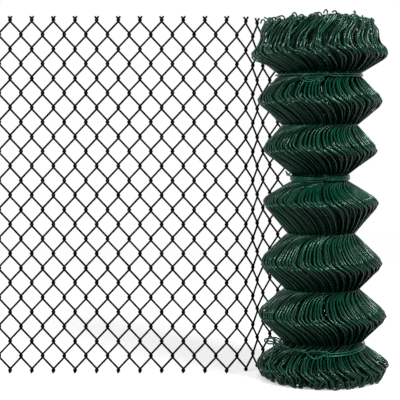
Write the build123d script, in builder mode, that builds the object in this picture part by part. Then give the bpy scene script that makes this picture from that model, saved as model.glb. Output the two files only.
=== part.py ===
from build123d import *
import os
from math import asin, cos, degrees, pi, radians, sin

# Roll of chain-link fencing that stands on its end, with a short length of it paid out.
# Everything is in millimetres. The origin is on the roll's axis at the floor, +Z points up
# the axis, +Y points away from the viewer, and the paid-out length runs towards -X.

# The mesh: coated wire, coiled flat and hooked into the next wire at every knot
wire_d = 4.5
wire_sides = 4
diamond_width = 60.8
diamond_height = 82.0
diamond_rows = 12
hook_clearance = 0.4
hook_reach = 3.4
hook_drop = 6.0
top_stub = 11.0
bottom_stub = 7.0
bottom_knot_height = 9.0

# The roll, pleated like a bellows, with a round hole where the mandrel was. The mesh bends
# only at its knots, so a turn goes round in straight chords. Crests and waists are radius
# and height, from the foot up, and a waist may hold a tie
roll_height = 1000.0
roll_chords = 32
bore_r = 50.0
foot_r = 167.0
neck_r = 170.0
neck_rise = 24.0
shoulder_r = 166.0
shoulder_drop = 20.0
top_r = 145.0
crests = [(181.5, 36.5), (177.5, 173.0), (167.5, 317.5), (159.5, 484.0)]
crests += [(156.5, 631.0), (172.5, 766.0), (192.0, 898.0)]
crest_land = 16.0
waists = [(117.0, 97.0, "tie_lower"), (105.5, 245.0, None), (95.5, 398.0, None)]
waists += [(82.5, 552.5, "tie_middle"), (107.0, 698.5, None), (121.0, 838.0, "tie_upper")]

# The winding, which shows in both ends as a spiral gap between its turns
turn_pitch = 18.0
turn_gap = 5.0
turn_depth = 8.0
first_turn_wall = 4.0
last_turn_wall = 4.0
chords_per_turn = 10

# The ties, each of the mesh's own wire: how many turns, how long and high the bow at the
# front, and how far a loop stands out at the left
ties = {
    "tie_lower": {"turns": 1, "bow_length": 44.0, "bow_height": 12.0, "side_loop": 46.0},
    "tie_middle": {"turns": 3, "bow_length": 26.0, "bow_height": 9.0, "side_loop": 13.0},
    "tie_upper": {"turns": 1, "bow_length": 60.0, "bow_height": 13.0, "side_loop": 0.0},
}
tie_clearance = 0.3
tie_chords = 18
tie_wrap_offset = 8.0
tie_start_offset = 12.0
tie_tail = 6.0
side_loop_spread = 10.0

# The way of the paid-out length in plan: round the roll's back, through a bend, then flat
wrap_start = 140.0
wrap_pickets = 2
bend_pickets = 3
flat_pickets = 22
seat_clearance = 0.3

# Sizes that follow from those above
wire_r = wire_d / 2
picket_pitch = diamond_width / 2
half_row = diamond_height / 2
strand_offset = (wire_d + hook_clearance) / 2
top_knot_height = bottom_knot_height + diamond_rows * diamond_height
tie_pitch = wire_d + tie_clearance
core_r = 0.9 * bore_r
FRONT = -90.0


def round_axis(angle, radius, height):
    """A point at an angle in degrees round the roll's axis."""
    return Vector(radius * cos(radians(angle)), radius * sin(radians(angle)), height)


def swept_wire(points, edge_towards):
    """A wire of straight runs and mitred bends, with one edge of its section turned to face
    the given direction."""
    with BuildPart() as wire:
        with BuildLine() as path:
            Polyline(*points)
        start = Plane(points[0], x_dir=edge_towards, z_dir=points[1] - points[0])
        with BuildSketch(start):
            RegularPolygon(wire_r, wire_sides)
        sweep(path=path.line, transition=Transition.RIGHT)
    return wire.part


def picket_points(ends_left):
    """Centre line of one mesh wire from its top end down, hooked left and right by turns.

    Its left knot column is at x = 0 and its right one a picket pitch away. The wire reaches
    a left hook in front of its neighbour and leaves it behind, and a right hook the other
    way round, so that two neighbours clasp each other at every knot.
    """
    run = Vector(picket_pitch + 2 * hook_reach, 0, half_row - hook_drop).normalized()
    points = []
    for hook in range(2 * diamond_rows + 1):
        at_left = (hook % 2 == 0) == ends_left
        side = -1 if at_left else 1
        x = -hook_reach if at_left else picket_pitch + hook_reach
        z = top_knot_height - hook * half_row
        reached = Vector(x, side * strand_offset, z + hook_drop / 2)
        left = Vector(x, -side * strand_offset, z - hook_drop / 2)
        if hook == 0:
            points.append(reached + Vector(-side * run.X, 0, run.Z) * top_stub)
        points += [reached, left]
    points.append(left + Vector(-side * run.X, 0, -run.Z) * bottom_stub)
    return points


def roll_outline():
    """The roll's outer outline, as radius and height from the foot to the top. A tied waist
    has a straight part with room for the turns of its tie."""
    outline = [(foot_r, 0)]
    for crest, (radius, height) in enumerate(crests):
        outline += [(radius, height - crest_land / 2), (radius, height + crest_land / 2)]
        if crest < len(waists):
            waist_r, waist_z, tie = waists[crest]
            if tie:
                land = ties[tie]["turns"] * tie_pitch + wire_d
                outline += [(waist_r, waist_z - land / 2), (waist_r, waist_z + land / 2)]
            else:
                outline.append((waist_r, waist_z))
    outline.append((neck_r, crests[-1][1] + crest_land / 2 + neck_rise))
    outline.append((shoulder_r, roll_height - shoulder_drop))
    return outline + [(top_r, roll_height)]


def turns_outline(end_r):
    """Outline of the gap between the turns, wound in straight chords from wire to wire."""
    first_r = bore_r + first_turn_wall
    turns = (end_r - last_turn_wall - turn_gap - first_r) / turn_pitch
    corners = [
        (corner * 360 / chords_per_turn, first_r + corner * turn_pitch / chords_per_turn)
        for corner in range(int(turns * chords_per_turn) + 1)
    ]
    inner = [round_axis(angle, radius, 0) for angle, radius in corners]
    outer = [round_axis(angle, radius + turn_gap, 0) for angle, radius in corners]
    return inner + outer[::-1]


def tie_points(waist_r, waist_z, turns, bow_length, bow_height, side_loop):
    """Centre line of a tie: its bow, its turns round the waist, and its wrapped end."""
    seat_r = waist_r / cos(pi / roll_chords) + tie_clearance + wire_r
    ring_r = seat_r / cos(pi / tie_chords)
    bow_r = ring_r + tie_pitch + tie_clearance
    wrap_r = bow_r + tie_pitch
    first_z = waist_z - turns * tie_pitch / 2

    def bow_point(along, up):
        angle = FRONT - degrees(along * bow_length / bow_r)
        return round_axis(angle, bow_r, waist_z + up * bow_height)

    points = [bow_point(0, 0.25), bow_point(0.4, 0.5), bow_point(0.85, 0.45)]
    points += [bow_point(1, 0), bow_point(0.85, -0.45), bow_point(0.4, -0.5)]
    points.append(round_axis(FRONT, bow_r, first_z))

    first = FRONT + degrees(tie_start_offset / ring_r)
    last = FRONT + 360 * turns + degrees(tie_wrap_offset / ring_r)
    chords = turns * tie_chords
    rise = turns * tie_pitch / chords
    for chord in range(chords + 1):
        angle = first + (last - first) * chord / chords
        points.append(round_axis(angle, ring_r, first_z + chord * rise))
        step_over_left = angle < 180 <= angle + (last - first) / chords
        if side_loop and step_over_left:
            height = first_z + (chord + 0.5) * rise
            for spread in (1, -1):
                out = height + spread * side_loop_spread / 2
                points.append(round_axis(180, ring_r + side_loop, out))

    end = points[-1]
    outward = round_axis(last, 1, 0)
    points.append(end + outward * (wrap_r - ring_r))
    points.append(points[-1] - Vector(0, 0, tie_tail))
    return points


def column_way():
    """Places of the knot columns in plan from the roll outwards, and each picket's heading."""
    crest_corner_r = max(radius for radius, height in crests) / cos(pi / roll_chords)
    inner_r = crest_corner_r + seat_clearance + strand_offset + wire_r
    half_turn = degrees(asin(picket_pitch / 2 / inner_r))
    wrap_r = inner_r / cos(radians(half_turn))
    headings = [wrap_start + 90 + half_turn * (2 * n + 1) for n in range(wrap_pickets)]
    bend_turn = (180 - headings[-1]) / (bend_pickets + 1)
    headings += [headings[-1] + bend_turn * (n + 1) for n in range(bend_pickets)]
    headings += [180.0] * flat_pickets
    places = [round_axis(wrap_start, wrap_r, 0)]
    for heading in headings:
        places.append(places[-1] + round_axis(heading, picket_pitch, 0))
    return list(zip(places, headings))


os.makedirs("parts", exist_ok=True)

# The wound roll: its section is turned round the axis in straight chords, its bore is round,
# and the gap between its turns is cut into both ends
with BuildPart() as fence_roll:
    with BuildLine() as chords:
        corners = [(chord + 0.5) * 360 / roll_chords for chord in range(roll_chords)]
        Polyline(*[round_axis(corner, bore_r, 0) for corner in corners], close=True)
    with BuildSketch(Plane.XZ):
        with BuildLine():
            Polyline((core_r, 0), *roll_outline(), (core_r, roll_height), close=True)
        make_face()
    sweep(path=chords.line, transition=Transition.RIGHT)
    Hole(bore_r)
    with BuildSketch(Plane.XY.offset(roll_height)):
        with BuildLine():
            Polyline(*turns_outline(top_r), close=True)
        make_face()
    extrude(amount=-turn_depth, mode=Mode.SUBTRACT)
    with BuildSketch(Plane.XY):
        with BuildLine():
            Polyline(*turns_outline(foot_r), close=True)
        make_face()
    extrude(amount=turn_depth, mode=Mode.SUBTRACT)
fence_roll.part.label = "fence_roll"
export_step(fence_roll.part, "parts/fence_roll.step")

# The ties
for waist_r, waist_z, name in waists:
    if name:
        with BuildPart() as wire_tie:
            add(swept_wire(tie_points(waist_r, waist_z, **ties[name]), Vector(0, 0, 1)))
        wire_tie.part.label = name
        export_step(wire_tie.part, f"parts/{name}.step")

# The wires of the paid-out length. The end knots are in every second column, so every second
# wire ends at its left
wires = [swept_wire(picket_points(ends_left), Vector(0, 1, 0)) for ends_left in (True, False)]
for number, (place, heading) in enumerate(column_way(), start=1):
    with BuildPart() as picket:
        with Locations(Location(place, (0, 0, heading))):
            add(wires[(number - 1 - wrap_pickets - bend_pickets) % 2])
    picket.part.label = f"picket_{number:02d}"
    export_step(picket.part, f"parts/{picket.part.label}.step")
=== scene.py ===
"""The looks of a pleated roll of coated chain-link fencing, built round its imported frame.

Everything is in metres, in the frame's own axes: +Z up the roll's axis, -Y towards the
viewer, and the paid-out length of mesh runs towards -X."""

import math

import bpy
import numpy as np
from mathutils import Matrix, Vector


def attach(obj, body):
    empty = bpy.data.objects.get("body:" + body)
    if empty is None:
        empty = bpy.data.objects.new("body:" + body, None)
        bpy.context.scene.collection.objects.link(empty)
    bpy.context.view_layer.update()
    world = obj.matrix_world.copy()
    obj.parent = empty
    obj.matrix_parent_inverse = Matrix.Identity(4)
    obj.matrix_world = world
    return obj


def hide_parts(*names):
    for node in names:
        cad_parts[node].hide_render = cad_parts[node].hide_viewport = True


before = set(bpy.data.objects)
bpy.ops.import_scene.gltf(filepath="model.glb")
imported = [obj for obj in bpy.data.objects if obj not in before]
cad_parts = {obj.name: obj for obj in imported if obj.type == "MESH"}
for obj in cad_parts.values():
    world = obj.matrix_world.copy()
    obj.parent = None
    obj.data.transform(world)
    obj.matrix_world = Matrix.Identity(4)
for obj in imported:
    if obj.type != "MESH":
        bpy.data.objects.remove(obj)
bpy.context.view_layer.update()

# The wire, which all pieces are made of: a steel core inside a green plastic coat
WIRE_R = 0.00225
CORE_SHARE = 0.78
# Sides of a drawn wire of the ties and the sheet, and a direction that no wire starts along
WIRE_SIDES = 8
ACROSS = (0.31, 0.87, 0.39)

# The roll: how many turns it has and the angle where they start, how many wires an outer and an
# inner turn have, and what share of the wound depth the first turn takes
WOUND_TURNS = 5.6
WOUND_START = 140.0
OUTER_TURN_WIRES = 84
INNER_TURN_WIRES = 54
FIRST_TURN_STEP = 0.07
# Its bore, how far outside it the innermost turn lies at the waists, and what share of a pleat's
# depth that turn has
BORE_R = 0.050
INNER_WALL = 0.004
CREST_FILL = 0.42

# How far a wire strays sideways at each place of a pleat, seen from outside, going down:
# share of the flank from its upper end, then metres to the right. At a crest, how far it stands
# out comes between the two
UPPER_FLANK = [(0.0, 0.018), (0.10, 0.002), (0.27, -0.011)]
UPPER_FLANK += [(0.50, -0.017), (0.76, -0.018), (0.93, -0.016)]
LOWER_FLANK = [(0.09, 0.017), (0.28, 0.026), (0.52, 0.033), (0.80, 0.036), (0.95, 0.035)]
CREST_LAND = [(0.0, -0.0030, -0.012), (0.5, 0.0015, 0.000), (1.0, -0.0030, 0.012)]
# How far to the right it is at a tied waist's upper edge, and how far a tie pulls it in
WAIST_LAND = 0.028
TIED_IN = 0.003
# How far the outer wires stand out past the solid, at the top and at all crests but the widest
STAND_OUT = 0.003
# How far the wires stand to the right of the roll's axis, at the foot and at the top
LEAN = (0.006, -0.005)

# The wires' ends at the top: metres below the top, stray to the right, and how far they may
# stray at random, sideways and in height
TOP_FRINGE = [(0.011, 0.029, 0.0085, 0.0050), (0.034, 0.013, 0.0070, 0.0045)]
TOP_FRINGE += [(0.056, -0.005, 0.0050, 0.0035), (0.077, -0.011, 0.0035, 0.0030)]
# There the wires end lower at the roll's left and right, lean at random and fall inwards
SIDE_DROP = 0.009
TOP_LEAN = 0.016
TOP_INWARD = 0.006
# And at the foot: metres above the floor
FOOT_FRINGE = [(0.019, 0.016, 0.0050, 0.0015), (0.009, 0.015, 0.0060, 0.0012)]

# How far a wire may stray at random, sideways at a crest and a waist and in height at a crest,
# and how many times that in each pleat, from the top down
CREST_LOOSE = 0.0018
WAIST_LOOSE = 0.0012
CREST_LIFT = 0.0024
PLEAT_LOOSE = [2.4, 1.5, 1.1, 0.9, 0.9, 1.1, 2.2]
# The shares of that in a swell that all wires follow, in each wire's own lift and in how far
# it stands out or in
SWELL = 1.3
OWN_LIFT = 0.55
OWN_OUT = 0.35
# The swell sideways and in height: its waves round the roll and where they start. In height it
# changes more slowly from station to station. A wire's own drift turns after some six of them
SIDE_SWELL = ((5, 11, 19), 2.1)
LIFT_SWELL = ((2, 5, 9), 4.4)
LIFT_SWELL_PACE = 0.3
DRIFT_STATIONS = 6
# A share of the wires strays more than the rest, and lies a little deeper
STRAY_SHARE = 0.12
STRAY_MORE = 1.8
STRAY_DEEPER = 0.001
# Round the thinnest waists, wires stray as if the roll had this radius
STRAY_MIN_R = 0.09
# How far every second wire lies behind its neighbours, and how many times that below a crest
BEHIND_STEP = 0.0028
BELOW_CREST = 3.2

# The hooks at the wires' ends. Three ranges: the arc's radius, its turn in degrees and the
# tail's length. Then how far they tilt outwards, as mean and spread
FOOT_HOOK = ((0.0052, 0.0075), (165, 195), (0.012, 0.027), (0.10, 0.25))
TOP_HOOK = ((0.0040, 0.0092), (110, 250), (0.003, 0.012), (0, 0.8))
HOOK_STEPS = 7
# What share of the top's hooks curl to the right. At the foot every second one does
TOP_TO_RIGHT = 0.62

# How the solid's rings are told apart from the gap between its turns
ROLL_CHORDS = 32
RING_CORNERS_MIN = 12
SAME = 0.0001
# The roll's pieces: which turns each holds, whether only their front or back half (None is
# both), samples to a span, and sides of the wire
ROLL_PIECES = [
    ("outer_turn_front", [0], True, 2, 7), ("outer_turn_back", [0], False, 2, 6),
    ("second_turn", [1], None, 1, 6), ("third_turn", [2], None, 1, 6),
    ("inner_turns", [3, 4, 5], None, 1, 5),
]

# The ties: how close two turns of one lie, in wire thicknesses, how far the lower one hangs
# lower at the front, degrees from point to point of a ring, samples to a span, and points of a
# drawn wire
TIE_PITCH = 1.04
TIE_SAG = 0.009
RING_STEP = 12
TIE_SAMPLES = 5
TIE_POINTS = 150
LONG_TIE_POINTS = 240

# The sheet: its mesh lies as in the part, with thicker wires and taller hooks
DIAMOND_WIDTH = 0.0608
DIAMOND_HEIGHT = 0.082
DIAMOND_ROWS = 12
BOTTOM_KNOT_HEIGHT = 0.009
SHEET_WIRE_R = 0.0028
STRAND_OFFSET = 0.0029
HOOK_REACH = 0.0030
HOOK_DROP = 0.0085
HOOK_SAMPLES = 6
# Its wires' ends: at the top a neck that bends into a stub, across and up, and at the foot a
# stub that goes straight on
TOP_NECK = 0.0045
TOP_STUB = (0.0060, 0.0062)
BOTTOM_STUB = 0.0030
# Its way in plan: from this angle round the roll, then through a bend, then flat, with so many
# wires in each, and before it some loose wires further round the roll's back
WRAP_START = 140.0
WRAP_PICKETS = 2
BEND_PICKETS = 3
FLAT_PICKETS = 22
LOOSE_PICKETS = 4
SEAT_CLEARANCE = 0.0003

# The coats: the two greens that each varies between, its roughness and its specular level
COATS = {
    "green_coat": ((0.0045, 0.088, 0.045), (0.002, 0.050, 0.026), 0.20, 0.7),
    # Painted shade: the turns inside the outer one have a darker, duller green than the same wire
    # outside
    "painted_shade_inner_coat": ((0.002, 0.040, 0.021), (0.001, 0.022, 0.012), 0.30, 0.3),
    # Painted highlight: the ties' green is lighter than the same wire in the roll, for their glints
    "painted_highlight_tie_coat": ((0.013, 0.150, 0.090), (0.008, 0.105, 0.060), 0.24, 0.5),
    # Painted shade: the sheet's wires are near black, though they are the same green wire as the
    # roll's
    "painted_shade_sheet_coat": ((0.002, 0.010, 0.006), (0.001, 0.005, 0.003), 0.55, 0.05),
}
COAT_IOR = 1.5
GLOSS_TINT = (0.74, 1.0, 0.90, 1)
# How the green varies, how the gloss does, and the ripple: scale of the noise, its detail, and
# then its two stops, what it adds to the roughness, or strength and depth
GREEN_SCALE, GREEN_DETAIL, GREEN_STOPS = 38.0, 3.0, (0.32, 0.68)
SCUFF_SCALE, SCUFF_DETAIL, SCUFF_SPREAD = 160.0, 4.0, (-0.05, 0.09)
RIPPLE_SCALE, RIPPLE_DETAIL, RIPPLE_STRENGTH, RIPPLE_DEPTH = 420.0, 2.0, 0.06, 0.0004
# The steel in a cut end: colour, scale and detail of the cutter's marks, and range of roughness
STEEL_COLOUR = (0.42, 0.42, 0.40, 1)
CUT_SCALE, CUT_DETAIL = 2200.0, 2.0
STEEL_ROUGHNESS = (0.35, 0.6)

# The light. Lamps: place, aim, size and power. The world lights little, and reflections see it
# go from dark to white as their direction's Y goes through this range
LAMPS = {
    "key": ((2.0, -2.1, 3.5), (0, 0, 0.4), 1.2, 142.0),
    "fill": ((-2.1, -1.7, 2.3), (0, 0, 0.5), 1.2, 42.0),
}
WORLD_LIGHT = 0.12
WORLD_BEHIND = (0.0, 0.5)

# The floor near the roll is pale and glows, though not beneath it, where the missing glow paints a
# shadow round the roll's foot, and goes over to plain white at these distances. It throws little
# light back, and reflections see a share of its white in front, rising to all of it over this range
# of Y
FLOOR_REACH = 400.0
FLOOR_PALE = 0.8
FLOOR_GLOW = 0.66
PAINTED_SHADOW_UNDER_ROLL = (0.13, 0.18)
FLOOR_FAR = (1.2, 3.5)
FLOOR_BOUNCE = 0.12
FLOOR_MIRRORED = 0.35
FLOOR_BEHIND = (0.0, 1.0)

# The camera, at the photo's viewing point, and the photo's frame
CAMERA_DISTANCE = 3.2
CAMERA_HEIGHT = 0.75
ROLL_AXIS_PX = 320.0
HORIZON_PX = 106.5
FOCAL_PX = 1150.0
FRAME_PX = 400.0
SENSOR_MM = 36.0
CLIP_END = 1000.0

rng = np.random.default_rng(11)


def wire_frames(paths):
    """Two unit vectors across each wire at each point, carried along it without twist."""
    along = np.gradient(paths, axis=1)
    along /= np.linalg.norm(along, axis=2, keepdims=True)
    first = np.zeros_like(paths)
    across = np.cross(along[:, 0], ACROSS)
    first[:, 0] = across / np.linalg.norm(across, axis=1, keepdims=True)
    for point in range(1, paths.shape[1]):
        carried = first[:, point - 1]
        part = np.sum(carried * along[:, point], axis=1, keepdims=True)
        carried = carried - along[:, point] * part
        first[:, point] = carried / np.linalg.norm(carried, axis=1, keepdims=True)
    return first, np.cross(along, first)


def wires_object(name, paths, sides, materials, radius=WIRE_R):
    """One mesh of round wires along paths of equal point count, shape (wires, points, 3), with
    the steel core showing in their cut ends."""
    paths = np.asarray(paths, float)
    wires, points = paths.shape[:2]
    first, second = wire_frames(paths)
    turn = 2 * np.pi * np.arange(sides) / sides
    ring = first[:, :, None, :] * np.cos(turn)[None, None, :, None]
    ring = ring + second[:, :, None, :] * np.sin(turn)[None, None, :, None]
    skin = paths[:, :, None, :] + radius * ring
    core_start = paths[:, :1, None, :] + CORE_SHARE * radius * ring[:, :1]
    core_end = paths[:, -1:, None, :] + CORE_SHARE * radius * ring[:, -1:]
    rings = np.concatenate([core_start, skin, core_end], axis=1)
    ring_count = points + 2
    vertices = rings.reshape(-1, 3)

    index = np.arange(wires * ring_count * sides).reshape(wires, ring_count, sides)
    here, there = index[:, :-1], index[:, 1:]
    quads = np.stack([here, np.roll(here, -1, 2), np.roll(there, -1, 2), there], axis=3)
    quads = quads.reshape(-1, 4)
    caps = np.concatenate([index[:, 0, ::-1], index[:, -1]])

    mesh = bpy.data.meshes.new(name)
    mesh.vertices.add(len(vertices))
    mesh.vertices.foreach_set("co", vertices.astype(np.float32).ravel())
    loops = np.concatenate([quads.ravel(), caps.ravel()]).astype(np.int32)
    mesh.loops.add(len(loops))
    mesh.loops.foreach_set("vertex_index", loops)
    sizes = np.concatenate([np.full(len(quads), 4), np.full(len(caps), sides)])
    starts = np.concatenate([[0], np.cumsum(sizes)[:-1]]).astype(np.int32)
    mesh.polygons.add(len(sizes))
    mesh.polygons.foreach_set("loop_start", starts)
    smooth = np.concatenate([np.ones(len(quads), bool), np.zeros(len(caps), bool)])
    mesh.polygons.foreach_set("use_smooth", smooth)
    slots = np.concatenate([np.zeros(len(quads), np.int32), np.ones(len(caps), np.int32)])
    mesh.polygons.foreach_set("material_index", slots)
    mesh.update(calc_edges=True)
    mesh.validate()
    for material in materials:
        mesh.materials.append(material)
    thing = bpy.data.objects.new(name, mesh)
    bpy.context.scene.collection.objects.link(thing)
    return thing


def smooth_through(stations, samples):
    """Points on smooth curves through the stations, shape (wires, stations, coordinates), with
    the given number of samples to a span."""
    stations = np.asarray(stations, float)
    step = np.linalg.norm(np.diff(stations, axis=1), axis=2).mean(0) + 1e-6
    slope = np.diff(stations, axis=1) / step[None, :, None]
    before, after = step[:-1][None, :, None], step[1:][None, :, None]
    inner = (slope[:, 1:] * before + slope[:, :-1] * after) / (before + after)
    tangent = np.concatenate([slope[:, :1], inner, slope[:, -1:]], axis=1)
    pieces = []
    for span in range(stations.shape[1] - 1):
        t = np.arange(samples) / samples
        t = t[None, :, None]
        h = step[span]
        start, end = stations[:, span, None], stations[:, span + 1, None]
        leave, arrive = tangent[:, span, None] * h, tangent[:, span + 1, None] * h
        pieces.append(
            (2 * t**3 - 3 * t**2 + 1) * start
            + (t**3 - 2 * t**2 + t) * leave
            + (3 * t**2 - 2 * t**3) * end
            + (t**3 - t**2) * arrive
        )
    return np.concatenate(pieces + [stations[:, -1:]], axis=1)


def sideways(end, hand, tilt):
    """Unit vectors round the roll at each path's end, to the right or left, tilting out or in."""
    out = end * [1, 1, 0]
    out = out / np.linalg.norm(out, axis=1, keepdims=True)
    right = np.stack([-out[:, 1], out[:, 0], np.zeros(len(end))], axis=1)
    return right * hand[:, None] + out * tilt[:, None]


def end_hooks(paths, hand, arc_r, arc_turn, tail, tilt):
    """The paths, each lengthened by a hook: an arc that curls to the side and a short tail."""
    end = paths[:, -1]
    ahead = end - paths[:, -2]
    ahead /= np.linalg.norm(ahead, axis=1, keepdims=True)
    aside = sideways(end, hand, tilt)
    side = aside - ahead * np.sum(aside * ahead, axis=1, keepdims=True)
    side /= np.linalg.norm(side, axis=1, keepdims=True)
    arc_r, arc_turn, tail = (value[:, None] for value in (arc_r, arc_turn, tail))
    added = []
    for step in range(1, HOOK_STEPS + 1):
        turn = arc_turn * step / HOOK_STEPS
        added.append(end + arc_r * (side * (1 - np.cos(turn)) + ahead * np.sin(turn)))
    arc_end = added[-1]
    leave = ahead * np.cos(arc_turn) + side * np.sin(arc_turn)
    for share in (0.5, 1.0):
        added.append(arc_end + leave * tail * share)
    return np.concatenate([paths, np.stack(added, axis=1)], axis=1)


def random_hooks(hand, arc_r, arc_turn, tail, tilt):
    """A hook for every wire, as end_hooks takes them, drawn at random for all but its side."""
    count = len(hand)
    return [
        hand, rng.uniform(*arc_r, count), np.radians(rng.uniform(*arc_turn, count)),
        rng.uniform(*tail, count), rng.normal(*tilt, count),
    ]


def roll_outline():
    """The roll's crests and waists from the top down, as radius, upper and lower height, and
    its top and foot rings, read from the rings of its CAD solid."""
    found = {}
    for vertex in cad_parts["fence_roll"].data.vertices:
        x, y, z = vertex.co
        found.setdefault(round(z, 4), []).append(math.hypot(x, y))
    rings = []
    for height, radii in sorted(found.items(), reverse=True):
        radius = max(radii)
        if sum(abs(radius - other) < SAME for other in radii) > RING_CORNERS_MIN:
            rings.append((radius * math.cos(math.pi / ROLL_CHORDS), height))
    crests, waists = [], []
    for n in range(1, len(rings) - 1):
        (above, _), (radius, height), (below, lower) = rings[n - 1:n + 2]
        level = abs(radius - below) < SAME
        if radius > above + SAME and level:
            crests.append((radius, height, lower))
        elif radius < above - SAME and (level or radius < below):
            waists.append((radius, height, lower if level else height))
    return crests, waists, rings


def outline_radius(rings, height):
    """The roll's radius at a height."""
    heights = [z for radius, z in rings[::-1]]
    radii = [radius for radius, z in rings[::-1]]
    return float(np.interp(height, heights, radii))


def is_tied(waist):
    """Whether a waist has a straight part for a tie."""
    _, top, low = waist
    return top - low > SAME


def tied_waist(waist):
    """A waist as its wires lie, pulled in where a tie holds it."""
    radius, top, low = waist
    return (radius - TIED_IN if is_tied(waist) else radius), top, low


def wire_stations():
    """The way of an outer wire from the roll's top to its foot. Each station is its radius, its
    height, how far it strays to the right, the radius of the innermost turn there, two
    loosenesses: how far a wire may stray at random, sideways and in height, and how much
    farther than elsewhere every second wire lies behind its neighbours."""
    crests, waists, rings = roll_outline()
    height = rings[0][1]
    bore = BORE_R + INNER_WALL + WIRE_R
    stations = []

    def add(radius, z, stray, inner, loose, lift, step=1.0):
        stations.append((radius - WIRE_R, z, stray, inner, loose, lift, step))

    def add_flank(waist_r, crest_r, crest_inner, more, out, z, stray, step=1.0):
        loose = WAIST_LOOSE + out * (CREST_LOOSE - WAIST_LOOSE)
        add(
            waist_r + out * (crest_r - waist_r), z, stray, bore + out * (crest_inner - bore),
            loose * more, out * CREST_LIFT * more, step,
        )

    for drop, stray, loose, lift in TOP_FRINGE:
        z = height - drop
        add(outline_radius(rings, z) + STAND_OUT, z, stray, bore, loose, lift)
    for n, (crest_r, crest_top, crest_low) in enumerate(crests):
        crest_r += STAND_OUT if n else 0
        depth = crest_r - waists[min(n, len(waists) - 1)][0]
        crest_inner = bore + CREST_FILL * depth
        more = PLEAT_LOOSE[n]
        if n:
            waist_r, waist_top, waist_low = tied_waist(waists[n - 1])
            for share, stray in UPPER_FLANK:
                z = waist_low + share * (crest_top - waist_low)
                add_flank(waist_r, crest_r, crest_inner, more, share, z, stray)
        for share, out, stray in CREST_LAND:
            z = crest_top + share * (crest_low - crest_top)
            add(crest_r + out, z, stray, crest_inner, CREST_LOOSE * more, CREST_LIFT * more)
        if n < len(waists):
            waist_r, waist_top, waist_low = tied_waist(waists[n])
            for share, stray in LOWER_FLANK:
                z = crest_low + share * (waist_top - crest_low)
                step = 1 + (BELOW_CREST - 1) * math.sin(math.pi * share)
                add_flank(waist_r, crest_r, crest_inner, more, 1 - share, z, stray, step)
            if is_tied(waists[n]):
                add(waist_r, waist_top, WAIST_LAND, bore, WAIST_LOOSE * more, 0.0)
    for rise, stray, loose, lift in FOOT_FRINGE:
        add(outline_radius(rings, rise), rise, stray, crest_inner, loose, lift)
    return np.array(stations)


def swell(angle, station, waves, salt):
    """A gentle unevenness round the roll, between -1 and 1, which drifts from station to station.
    It has these numbers of waves to a turn, and the salt sets where they start."""
    total = np.zeros(np.broadcast(angle, station).shape)
    for k, wave in enumerate(waves):
        phase = salt * (k + 1) * 1.7 + 0.9 * np.sin(0.37 * station * (k + 1) + salt)
        total = total + np.sin(wave * angle + phase + 0.23 * station)
    return total / len(waves)


def roll_wires():
    """Centre lines of all wires of the roll, from the outermost in, as radius, angle and height,
    and each one's turn."""
    stations = wire_stations()
    turns = []
    turn = 0.0
    while turn < WOUND_TURNS:
        turns.append(turn)
        inward = max(turn - 1, 0) / (WOUND_TURNS - 1)
        turn += 1 / (OUTER_TURN_WIRES + inward * (INNER_TURN_WIRES - OUTER_TURN_WIRES))
    turns = np.array(turns)
    count = len(turns)
    later = np.maximum(turns - 1, 0) / (WOUND_TURNS - 1)
    depth = (FIRST_TURN_STEP * np.minimum(turns, 1) + (1 - FIRST_TURN_STEP) * later)[:, None]
    wound = turns[:, None] * 2 * np.pi
    azimuth = np.radians(WOUND_START) - wound

    radius, height, stray, inner, loose, lift, step = stations.T
    place = np.arange(len(stations))[None, :]
    r = radius[None, :] + (inner - radius)[None, :] * depth
    behind = (np.arange(count) % 2)[:, None]
    r = r - BEHIND_STEP * step[None, :] * behind * (1 - depth)

    coarse = rng.normal(size=(count, len(stations) // DRIFT_STATIONS + 3))
    knots = np.linspace(0, coarse.shape[1] - 1, len(stations))
    low = np.clip(knots.astype(int), 0, coarse.shape[1] - 2)
    blend = knots - low
    drift = coarse[:, low] * (1 - blend) + coarse[:, low + 1] * blend
    side = loose[None, :] * (drift + SWELL * swell(wound, place, *SIDE_SWELL))
    outlier = (rng.random(count) < STRAY_SHARE)[:, None] * rng.normal(0, 1, (count, 1))
    side = side + outlier * loose[None, :] * STRAY_MORE
    near_top = np.clip(1 - place / len(TOP_FRINGE), 0, 1)
    side = side + near_top * TOP_LEAN * rng.normal(0, 1, (count, 1))
    own_lift = rng.normal(0, OWN_LIFT, (count, 1))
    up = lift[None, :] * (own_lift + swell(wound, place * LIFT_SWELL_PACE, *LIFT_SWELL))
    up = up - SIDE_DROP * near_top * np.cos(azimuth) ** 2
    out = lift[None, :] * OWN_OUT * rng.normal(0, 1, (count, 1))
    out = out - np.abs(outlier) * STRAY_DEEPER
    out = out - TOP_INWARD * near_top * np.abs(rng.normal(0, 1, (count, 1)))

    angle_at = azimuth + (stray[None, :] + side) / np.maximum(radius, STRAY_MIN_R)[None, :]
    cylinder = np.stack([r + out, angle_at, height[None, :] + up], axis=2)
    return cylinder, turns


def upright(cylinder):
    """Points given as radius, angle and height."""
    r, angle, z = cylinder[..., 0], cylinder[..., 1], cylinder[..., 2]
    return np.stack([r * np.cos(angle), r * np.sin(angle), z], axis=-1)


def leaning(places):
    """The places moved sideways as the roll leans."""
    moved = LEAN[0] + (LEAN[1] - LEAN[0]) * places[..., 2]
    still = np.zeros(places.shape[:-1])
    return places + np.stack([moved, still, still], axis=-1)


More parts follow.
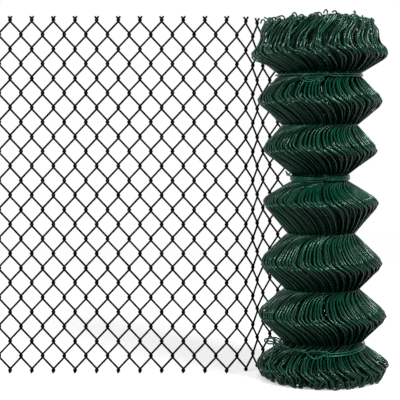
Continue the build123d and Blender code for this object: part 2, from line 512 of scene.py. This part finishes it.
def build_roll(outer, inner):
    """The wound mesh, turn by turn, with the hooked ends of its wires at the top and the foot.
    The first turn has the outer materials and the others the inner ones, whose darker green is
    painted shade."""
    cylinder, turns = roll_wires()
    count = len(cylinder)
    foot_hand = np.where(np.arange(count) % 2 == 0, 1.0, -1.0)
    top_hand = np.where(rng.random(count) < TOP_TO_RIGHT, 1.0, -1.0)
    foot_hooks = random_hooks(foot_hand, *FOOT_HOOK)
    top_hooks = random_hooks(top_hand, *TOP_HOOK)

    stations = leaning(upright(cylinder))
    in_front = stations[:, len(TOP_FRINGE), 1] < 0
    for name, turn_numbers, front, samples, sides in ROLL_PIECES:
        chosen = np.isin(turns.astype(int), turn_numbers)
        if front is not None:
            chosen &= in_front == front
        paths = smooth_through(stations[chosen], samples)
        paths = end_hooks(paths, *(value[chosen] for value in foot_hooks))
        paths = end_hooks(paths[:, ::-1], *(value[chosen] for value in top_hooks))
        paths[..., 2] = np.maximum(paths[..., 2], WIRE_R)
        piece = wires_object(name, paths, sides, inner if front is None else outer)
        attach(piece, "root")
        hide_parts("fence_roll")


def even_points(path, count):
    """Points evenly spaced along a path."""
    gone = np.concatenate([[0], np.cumsum(np.linalg.norm(np.diff(path, axis=0), axis=1))])
    places = np.linspace(0, gone[-1], count)
    return np.stack([np.interp(places, gone, path[:, axis]) for axis in range(3)], axis=1)


def tie_wires(name, node, ways, points, materials):
    """The wires of a tie. Each way is given as degrees to the right of the front, radius and
    height, and a smooth wire goes through it."""
    paths = []
    for way in ways:
        degrees, radii, heights = np.array(way, float).T
        angle = np.radians(degrees - 90)
        places = leaning(upright(np.stack([radii, angle, heights], axis=1)))
        paths.append(even_points(smooth_through(places[None], TIE_SAMPLES)[0], points))
    piece = wires_object(name, paths, WIRE_SIDES, materials)
    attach(piece, "root")
    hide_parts(node)


def wrap_round(way, turns, r_wrap, steps=9):
    """A wire wound round a short part of a way, which is given by its two ends."""
    (a0, r0, z0), (a1, r1, z1) = way
    wound = []
    for step in range(int(turns * steps) + 1):
        share = step / (turns * steps)
        phase = 2 * math.pi * step / steps
        wound.append((
            a0 + share * (a1 - a0), r0 + share * (r1 - r0) + r_wrap * math.cos(phase),
            z0 + share * (z1 - z0) + r_wrap * math.sin(phase),
        ))
    return wound


def around(way, radius, height, unit=1.0):
    """A way round the roll, whose points are given as degrees and what they add to a radius, in
    the given unit, and to a height."""
    return [(a, radius + out * unit, height + up) for a, out, up in way]


def upper_tie(waist, materials):
    """The upper tie: a ring, doubled at the right, with a twist and two bows at the front. The
    bows stand out by so many wire thicknesses."""
    waist_r, top, low = tied_waist(waist)
    z = (top + low) / 2
    r = waist_r + WIRE_R
    wire_d = 2 * WIRE_R
    ring = [(a, r, z + 0.0012 * math.sin(math.radians(a))) for a in range(0, 372, RING_STEP)]
    doubled = [(4, r + wire_d, z - 0.002)]
    doubled += [(a, r + 0.001, z - 0.0062 + 0.003 * a / 90) for a in range(14, 110, RING_STEP)]
    doubled += [(120, r - 0.012, z - 0.004)]
    bow = [(5, 0.8, 0.002), (0, 1.3, 0.001), (-8, 1.7, 0.000), (-16, 1.9, -0.002)]
    bow += [(-24, 1.8, -0.005), (-28, 1.7, -0.011), (-25, 1.8, -0.0180), (-17, 2.0, -0.0215)]
    bow += [(-9, 1.9, -0.0180), (-3, 1.8, -0.010), (3, 1.6, -0.002), (7, 0.9, 0.001)]
    inner_bow = [(4, 1.0, -0.004), (-4, 1.0, -0.006), (-12, 1.2, -0.008), (-20, 1.3, -0.0095)]
    inner_bow += [(-23, 1.3, -0.0125), (-19, 1.4, -0.0155), (-11, 1.3, -0.0145), (-4, 1.2, -0.011)]
    inner_bow += [(0, 1.1, -0.014), (-4, 1.2, -0.021), (-10, 1.5, -0.0265), (-15, 1.9, -0.0300)]
    bows = [around(way, r, z, wire_d) for way in (bow, inner_bow)]
    twist_way = [(0, r + 0.3 * wire_d, z - 0.001), (7, r + 0.3 * wire_d, z - 0.001)]
    twist = wrap_round(twist_way, 1.6, 1.15 * wire_d)
    wires = [ring, doubled, twist] + bows
    tie_wires("upper_tie_wires", "tie_upper", wires, TIE_POINTS, materials)


def middle_tie(waist, materials):
    """The middle tie: three turns that end upwards at the front, and a loop at the left."""
    waist_r, top, low = tied_waist(waist)
    z = (top + low) / 2
    r = waist_r + WIRE_R
    wire_d = 2 * WIRE_R
    pitch = TIE_PITCH * wire_d
    turns = [(a, r, z + pitch * (1.5 - a / 360)) for a in range(0, 1092, RING_STEP)]
    start = [(6, r - 0.004, z + 0.015), (4, r + 0.002, z + 0.012)]
    loop = [(-74, 0.0012, 0.002), (-82, 0.0030, 0.005), (-90, 0.0085, 0.011), (-97, 0.0130, 0.0160)]
    loop += [(-103, 0.0120, 0.0125), (-99, 0.0095, 0.0065), (-92, 0.0060, 0.006)]
    loop += [(-84, 0.0060, 0.010), (-76, 0.0040, 0.013), (-70, 0.0060, 0.016)]
    over = [(-38, r + 0.2 * wire_d, z - 0.001), (-30, r + 0.9 * wire_d, z - 0.001)]
    over += [(-15, r + wire_d, z + 0.0005), (-3, r + wire_d, z + 0.001)]
    over += [(4, r + 1.1 * wire_d, z + 0.004), (6, r + 1.2 * wire_d, z + 0.011)]
    wires = [start + turns, around(loop, r, z), over]
    tie_wires("middle_tie_wires", "tie_middle", wires, LONG_TIE_POINTS, materials)


def lower_tie(waist, rings, materials):
    """The lower tie: a ring that sags at the front, doubled at the right, with a wrap and an eye
    at the front, two loops at the left and an end that hangs from them."""
    waist_r, top, low = tied_waist(waist)
    z = (top + low) / 2

    def sagging(a, lower=0.0, out=0.0):
        front = math.cos(math.radians(min(abs(a), 180)) / 2) ** 4
        height = z - TIE_SAG * front - lower
        return a, outline_radius(rings, height) - TIED_IN * 0.7 + WIRE_R + out, height

    ring = [sagging(a) for a in range(-180, 192, RING_STEP)]
    doubled = [sagging(-6, 0.004, 0.003), sagging(3, 0.005, 0.003)]
    doubled += [sagging(a, 0.0058 - 0.0045 * a / 90, 0.001) for a in range(15, 100, RING_STEP)]
    doubled += [(108, waist_r - 0.010, z - 0.001)]
    _, front_r, front_z = sagging(0)
    wrap = [(-2, 0.000, 0.009), (-0.5, 0.0085, 0.0075), (0, 0.0100, 0.001), (0.5, 0.0100, -0.007)]
    wrap += [(1, 0.0090, -0.0125), (2.5, 0.004, -0.015)]
    eye = [(0, 0.004, 0.003), (-7, 0.006, 0.007), (-14, 0.007, 0.008), (-20, 0.006, 0.006)]
    eye += [(-23.5, 0.006, 0.001), (-20, 0.007, -0.007), (-15, 0.010, -0.0115)]
    eye += [(-11, 0.010, -0.011), (-7, 0.009, -0.006), (-3, 0.007, -0.001), (1, 0.004, 0.000)]
    side_r = waist_r + WIRE_R
    long_loop = [(-76, 0.002, 0.000), (-84, 0.010, 0.005), (-88, 0.022, 0.009), (-90, 0.034, 0.008)]
    long_loop += [(-91, 0.043, 0.003), (-90.5, 0.042, -0.001), (-89, 0.030, 0.001)]
    long_loop += [(-87, 0.018, -0.001), (-82, 0.008, -0.003), (-72, 0.003, -0.004)]
    next_loop = [(-100, 0.001, 0.002), (-99, 0.014, 0.006), (-97, 0.028, 0.005)]
    next_loop += [(-95, 0.036, -0.001), (-92, 0.034, -0.007), (-88, 0.022, -0.006)]
    next_loop += [(-82, 0.012, -0.005), (-74, 0.007, -0.006)]
    hanging = [(-82, 0.020, 0.002), (-74, 0.026, -0.004), (-68, 0.032, -0.014)]
    hanging += [(-65, 0.044, -0.029), (-62, 0.060, -0.047)]
    wires = [ring, doubled] + [around(way, front_r, front_z) for way in (wrap, eye)]
    wires += [around(way, side_r, z) for way in (hanging, long_loop, next_loop)]
    tie_wires("lower_tie_wires", "tie_lower", wires, TIE_POINTS, materials)


def build_ties(materials):
    """The three ties, each tight round the wires of its waist, with their knots and ends. Points
    are degrees to the right of the front, radii and heights."""
    _, waists, rings = roll_outline()
    upper, middle, lower = (waist for waist in waists if is_tied(waist))
    upper_tie(upper, materials)
    middle_tie(middle, materials)
    lower_tie(lower, rings, materials)


def picket_path(ends_left):
    """Centre line of one mesh wire from its top end down, coiled flat and hooked left and right
    by turns, with its left knot column at x = 0."""
    pitch, half_row = DIAMOND_WIDTH / 2, DIAMOND_HEIGHT / 2
    top = BOTTOM_KNOT_HEIGHT + DIAMOND_ROWS * DIAMOND_HEIGHT
    run = np.array([pitch + 2 * HOOK_REACH, 0, half_row - HOOK_DROP])
    run /= np.linalg.norm(run)
    points = []
    for hook in range(2 * DIAMOND_ROWS + 1):
        at_left = (hook % 2 == 0) == ends_left
        side = -1 if at_left else 1
        edge = (-HOOK_REACH if at_left else pitch + HOOK_REACH) - side * STRAND_OFFSET
        z = top - hook * half_row
        if hook == 0:
            start = np.array([edge, side * STRAND_OFFSET, z + HOOK_DROP / 2])
            points.append(start + np.array([-side * TOP_STUB[0], 0, TOP_STUB[1]]))
            points.append(start + np.array([-side * run[0], 0, run[2]]) * TOP_NECK)
        for step in range(HOOK_SAMPLES + 1):
            turn = math.pi * step / HOOK_SAMPLES
            points.append([
                edge + side * STRAND_OFFSET * math.sin(turn),
                side * STRAND_OFFSET * math.cos(turn),
                z + HOOK_DROP * (0.5 - step / HOOK_SAMPLES),
            ])
    end = np.array(points[-1])
    ahead = np.array([-side * run[0], 0, -run[2]])
    points.append(end + ahead * BOTTOM_STUB)
    path = np.array(points)
    path[:, 2] = np.maximum(path[:, 2], SHEET_WIRE_R)
    return path


def column_way():
    """Places of the knot columns in plan, from the loose wires at the roll's back outwards, and
    each wire's heading."""
    crests, _, _ = roll_outline()
    pitch = DIAMOND_WIDTH / 2
    widest = max(radius for radius, top, low in crests) / math.cos(math.pi / ROLL_CHORDS)
    inner_r = widest + SEAT_CLEARANCE + STRAND_OFFSET + WIRE_R
    half_turn = math.degrees(math.asin(pitch / 2 / inner_r))
    wrap_r = inner_r / math.cos(math.radians(half_turn))
    headings = [WRAP_START + 90 + half_turn * (2 * n + 1) for n in range(WRAP_PICKETS)]
    bend_turn = (180 - headings[-1]) / (BEND_PICKETS + 1)
    headings += [headings[-1] + bend_turn * (n + 1) for n in range(BEND_PICKETS)]
    headings += [180.0] * FLAT_PICKETS
    loose_start = WRAP_START - 2 * half_turn * LOOSE_PICKETS
    loose = [loose_start + 90 + half_turn * (2 * n + 1) for n in range(LOOSE_PICKETS)]
    start = math.radians(loose_start)
    place = np.array([wrap_r * math.cos(start), wrap_r * math.sin(start)])
    way = []
    for heading in loose + headings:
        way.append((place, heading))
        turned = math.radians(heading)
        place = place + pitch * np.array([math.cos(turned), math.sin(turned)])
    return way


def build_sheet(materials):
    """The paid-out length, wire by wire, each where its CAD wire is, and the loose wires, which
    have none."""
    kinds = [picket_path(True), picket_path(False)]
    for number, (place, heading) in enumerate(column_way(), start=1 - LOOSE_PICKETS):
        path = kinds[(number - 1 - WRAP_PICKETS - BEND_PICKETS) % 2]
        c, s = math.cos(math.radians(heading)), math.sin(math.radians(heading))
        placed = path @ np.array([[c, s, 0], [-s, c, 0], [0, 0, 1]]) + [place[0], place[1], 0]
        name = f"mesh_wire_{number:02d}" if number > 0 else f"loose_wire_{1 - number:02d}"
        piece = wires_object(name, placed[None], WIRE_SIDES, materials, SHEET_WIRE_R)
        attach(piece, "root")
        if number > 0:
            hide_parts(f"picket_{number:02d}")


def noise(nodes, links, place, scale, detail):
    """A noise over the object's own places."""
    texture = nodes.new("ShaderNodeTexNoise")
    texture.inputs["Scale"].default_value = scale
    texture.inputs["Detail"].default_value = detail
    links.new(place.outputs["Object"], texture.inputs["Vector"])
    return texture.outputs["Fac"]


def ranged(nodes, links, value, least, most, start=0.0, end=1.0):
    """From least to most as a value goes from start to end."""
    ramp = nodes.new("ShaderNodeMapRange")
    ramp.inputs["From Min"].default_value = start
    ramp.inputs["From Max"].default_value = end
    ramp.inputs["To Min"].default_value = least
    ramp.inputs["To Max"].default_value = most
    links.new(value, ramp.inputs["Value"])
    return ramp.outputs["Result"]


def coated_wire(name, lit, deep, roughness, specular):
    """A glossy plastic coat on wire: its green varies along and between wires, its gloss is
    uneven, and its surface has the fine ripple of a coat laid on by extrusion."""
    material = bpy.data.materials.new(name)
    material.use_nodes = True
    nodes, links = material.node_tree.nodes, material.node_tree.links
    shader = nodes["Principled BSDF"]
    shader.inputs["IOR"].default_value = COAT_IOR
    shader.inputs["Specular IOR Level"].default_value = specular
    shader.inputs["Specular Tint"].default_value = GLOSS_TINT
    place = nodes.new("ShaderNodeTexCoord")

    tint = nodes.new("ShaderNodeValToRGB")
    for stop, position, colour in zip(tint.color_ramp.elements, GREEN_STOPS, (deep, lit)):
        stop.position = position
        stop.color = (*colour, 1)
    links.new(noise(nodes, links, place, GREEN_SCALE, GREEN_DETAIL), tint.inputs["Fac"])
    links.new(tint.outputs["Color"], shader.inputs["Base Color"])

    scuff = noise(nodes, links, place, SCUFF_SCALE, SCUFF_DETAIL)
    least, most = (roughness + change for change in SCUFF_SPREAD)
    links.new(ranged(nodes, links, scuff, least, most), shader.inputs["Roughness"])

    bump = nodes.new("ShaderNodeBump")
    bump.inputs["Strength"].default_value = RIPPLE_STRENGTH
    bump.inputs["Distance"].default_value = RIPPLE_DEPTH
    ripple = noise(nodes, links, place, RIPPLE_SCALE, RIPPLE_DETAIL)
    links.new(ripple, bump.inputs["Height"])
    links.new(bump.outputs["Normal"], shader.inputs["Normal"])
    return material


def cut_steel():
    """The bare steel in a cut end, with the drag marks of the cutter."""
    material = bpy.data.materials.new("cut_steel")
    material.use_nodes = True
    nodes, links = material.node_tree.nodes, material.node_tree.links
    shader = nodes["Principled BSDF"]
    shader.inputs["Metallic"].default_value = 1.0
    shader.inputs["Base Color"].default_value = STEEL_COLOUR
    marks = noise(nodes, links, nodes.new("ShaderNodeTexCoord"), CUT_SCALE, CUT_DETAIL)
    links.new(ranged(nodes, links, marks, *STEEL_ROUGHNESS), shader.inputs["Roughness"])
    return material


def camera():
    """The photo's viewpoint: level and square to the sheet, with the frame shifted down."""
    data = bpy.data.cameras.new("camera")
    data.sensor_width = SENSOR_MM
    data.lens = SENSOR_MM * FOCAL_PX / FRAME_PX
    data.shift_y = HORIZON_PX / FRAME_PX - 0.5
    data.clip_end = CLIP_END
    thing = bpy.data.objects.new("camera", data)
    bpy.context.scene.collection.objects.link(thing)
    x = -(ROLL_AXIS_PX - FRAME_PX / 2) * CAMERA_DISTANCE / FOCAL_PX
    thing.location = (x, -CAMERA_DISTANCE, CAMERA_HEIGHT)
    thing.rotation_euler = (math.pi / 2, 0, 0)
    bpy.context.scene.camera = thing


def lamp(name, location, aim, size, power):
    """A soft square lamp aimed at a point."""
    data = bpy.data.lights.new(name, "AREA")
    data.size = size
    data.energy = power
    thing = bpy.data.objects.new(name, data)
    thing.location = location
    towards = Vector(aim) - Vector(location)
    thing.rotation_euler = towards.to_track_quat("-Z", "Y").to_euler()
    bpy.context.scene.collection.objects.link(thing)


def white_to_the_eye(nodes, links, share):
    """1 for camera rays and a share of 1 for glossy and transmission rays; 0 for the rays that
    light surfaces."""
    path = nodes.new("ShaderNodeLightPath")
    mirrored = nodes.new("ShaderNodeMath")
    mirrored.operation = "MAXIMUM"
    links.new(path.outputs["Is Glossy Ray"], mirrored.inputs[0])
    links.new(path.outputs["Is Transmission Ray"], mirrored.inputs[1])
    back = nodes.new("ShaderNodeMath")
    back.operation = "MULTIPLY"
    links.new(mirrored.outputs["Value"], back.inputs[0])
    links.new(share, back.inputs[1])
    seen = nodes.new("ShaderNodeMath")
    seen.operation = "MAXIMUM"
    links.new(path.outputs["Is Camera Ray"], seen.inputs[0])
    links.new(back.outputs["Value"], seen.inputs[1])
    return seen.outputs["Value"]


def depth_ramp(nodes, links, vector, start, end, least=0.0):
    """From the least share to 1 as a vector's Y goes from start to end."""
    split = nodes.new("ShaderNodeSeparateXYZ")
    links.new(vector, split.inputs[0])
    return ranged(nodes, links, split.outputs["Y"], least, 1.0, start, end)


def mixed(nodes, links, share, first, second):
    """One shader that goes over to another as a share goes from 0 to 1."""
    mix = nodes.new("ShaderNodeMixShader")
    links.new(share, mix.inputs["Fac"])
    links.new(first, mix.inputs[1])
    links.new(second, mix.inputs[2])
    return mix.outputs["Shader"]


def diffuse(nodes, grey):
    """A plain grey surface."""
    shader = nodes.new("ShaderNodeBsdfDiffuse")
    shader.inputs["Color"].default_value = (grey, grey, grey, 1)
    return shader.outputs["BSDF"]


def floor_material():
    """White to the eye, with the object's shadow on it near the roll and a painted shadow round the
    roll's foot, where its glow fades out. To the rays that light surfaces it is a dull grey."""
    material = bpy.data.materials.new("floor")
    material.use_nodes = True
    nodes, links = material.node_tree.nodes, material.node_tree.links
    nodes.remove(nodes["Principled BSDF"])
    geometry = nodes.new("ShaderNodeNewGeometry")
    length = nodes.new("ShaderNodeVectorMath")
    length.operation = "LENGTH"
    links.new(geometry.outputs["Position"], length.inputs[0])
    distance = length.outputs["Value"]

    glow = nodes.new("ShaderNodeEmission")
    # Painted shadow: the glow fades out beneath the roll, so the floor darkens round its foot
    shade = ranged(nodes, links, distance, 0.0, FLOOR_GLOW, *PAINTED_SHADOW_UNDER_ROLL)
    links.new(shade, glow.inputs["Strength"])
    near = nodes.new("ShaderNodeAddShader")
    links.new(diffuse(nodes, FLOOR_PALE), near.inputs[0])
    links.new(glow.outputs["Emission"], near.inputs[1])

    white = nodes.new("ShaderNodeEmission").outputs["Emission"]
    far = ranged(nodes, links, distance, 0.0, 1.0, *FLOOR_FAR)
    both = mixed(nodes, links, far, near.outputs["Shader"], white)
    share = depth_ramp(nodes, links, geometry.outputs["Position"], *FLOOR_BEHIND, FLOOR_MIRRORED)
    seen = white_to_the_eye(nodes, links, share)
    surface = mixed(nodes, links, seen, diffuse(nodes, FLOOR_BOUNCE), both)
    links.new(surface, nodes["Material Output"].inputs["Surface"])
    return material


def studio():
    """A white floor and surround with two plain soft lamps. The floor keeps the object's shadow,
    but throws little light back on it."""
    world = bpy.data.worlds.new("surround")
    bpy.context.scene.world = world
    world.use_nodes = True
    nodes, links = world.node_tree.nodes, world.node_tree.links
    background = nodes["Background"]
    background.inputs["Color"].default_value = (1, 1, 1, 1)
    way = nodes.new("ShaderNodeTexCoord")
    behind = depth_ramp(nodes, links, way.outputs["Generated"], *WORLD_BEHIND)
    seen = white_to_the_eye(nodes, links, behind)
    strength = ranged(nodes, links, seen, WORLD_LIGHT, 1.0)
    links.new(strength, background.inputs["Strength"])

    mesh = bpy.data.meshes.new("floor")
    reach = FLOOR_REACH
    corners = [(-reach, -reach, 0), (reach, -reach, 0), (reach, reach, 0), (-reach, reach, 0)]
    mesh.from_pydata(corners, [], [(0, 1, 2, 3)])
    mesh.materials.append(floor_material())
    floor = bpy.data.objects.new("floor", mesh)
    bpy.context.scene.collection.objects.link(floor)

    for name, setting in LAMPS.items():
        lamp(name, *setting)
    bpy.context.scene.view_settings.view_transform = "Standard"


coats = {name: coated_wire(name, *look) for name, look in COATS.items()}
steel = cut_steel()
# The turns inside the outer one get their darker green as painted shade
build_roll([coats["green_coat"], steel], [coats["painted_shade_inner_coat"], steel])
# The sheet gets its near-black green as painted shade
build_sheet([coats["painted_shade_sheet_coat"], steel])
# The ties get their lighter green as painted highlight
build_ties([coats["painted_highlight_tie_coat"], steel])
camera()
studio()
